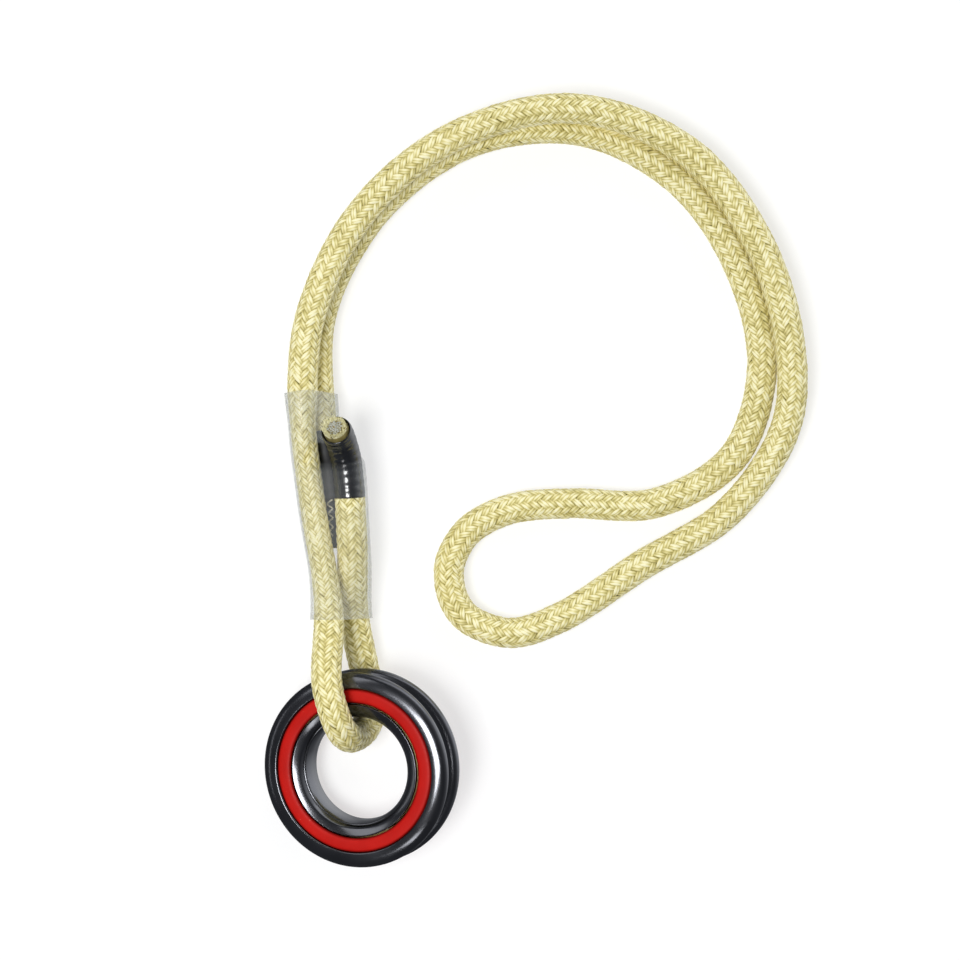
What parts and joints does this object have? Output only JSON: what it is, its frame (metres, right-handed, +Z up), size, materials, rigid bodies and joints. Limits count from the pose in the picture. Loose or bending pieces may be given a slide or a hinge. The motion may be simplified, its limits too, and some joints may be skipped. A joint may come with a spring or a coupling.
{
  "type": "rope pulley",
  "caption": "Flat ball-bearing ring pulley with a rope groove and red side seals, held in the small eye of an endless braided rope sling with a clear sleeve over its splice.",
  "frame": {"origin": "on the plane that the sling lies on, under the middle of the tilted pulley", "axes": "+Z up from that plane; +Y from the pulley along the splice towards the sling's large bight; +X to the right of +Y, towards the sling's far eye"},
  "size_m": [0.167, 0.237, 0.033],
  "materials": {
    "dark_polished_metal": "polished, hard anodised, nearly black",
    "red_seal": "smooth satin",
    "bearing_steel": "polished",
    "cage_brass": "machined",
    "aramid_rope": "two-over-two braid of fine filament yarns",
    "black_heat_shrink": "glossy, with soft ridges",
    "clear_heat_shrink": "clear, slightly milky film",
    "sewing_thread": "twisted thread"
  },
  "bodies": {
    "sling": {"sling_rope": "aramid_rope", "upper_end_wrap": "black_heat_shrink", "lower_end_wrap": "black_heat_shrink", "splice_stitching": "sewing_thread", "clear_sleeve": "clear_heat_shrink"},
    "inner_ring": {"inner_ring": "dark_polished_metal", "front_lip_ring": "dark_polished_metal", "rear_lip_ring": "dark_polished_metal"},
    "bearing": {"bearing_cage": "cage_brass", "ball_01": "bearing_steel", "ball_02": "bearing_steel", "ball_03": "bearing_steel", "ball_04": "bearing_steel", "ball_05": "bearing_steel", "ball_06": "bearing_steel", "ball_07": "bearing_steel", "ball_08": "bearing_steel", "ball_09": "bearing_steel", "ball_10": "bearing_steel", "ball_11": "bearing_steel", "ball_12": "bearing_steel", "ball_13": "bearing_steel", "ball_14": "bearing_steel", "ball_15": "bearing_steel", "ball_16": "bearing_steel", "ball_17": "bearing_steel", "ball_18": "bearing_steel", "ball_19": "bearing_steel", "ball_20": "bearing_steel", "ball_21": "bearing_steel", "ball_22": "bearing_steel", "ball_23": "bearing_steel", "ball_24": "bearing_steel"},
    "sheave": {"sheave": "dark_polished_metal", "front_seal": "red_seal", "rear_seal": "red_seal"}
  },
  "joints": [
    {"name": "ring_tilt", "type": "hinge", "parent": "sling", "child": "inner_ring", "pos_m": [0, 0, 0.0157], "axis": [-0.225, 0.9744, 0], "range_deg": [-10, 4]},
    {"name": "sheave_spin", "type": "hinge", "parent": "inner_ring", "child": "sheave", "pos_m": [0, 0, 0.0157], "axis": [-0.3333, -0.0769, 0.9397], "continuous": true},
    {"name": "cage_spin", "type": "hinge", "parent": "inner_ring", "child": "bearing", "pos_m": [0, 0, 0.0157], "axis": [-0.3333, -0.0769, 0.9397], "continuous": true}
  ],
  "couplings": [
    {"joint": "cage_spin", "follows": "sheave_spin", "ratio": 0.5369}
  ]
}
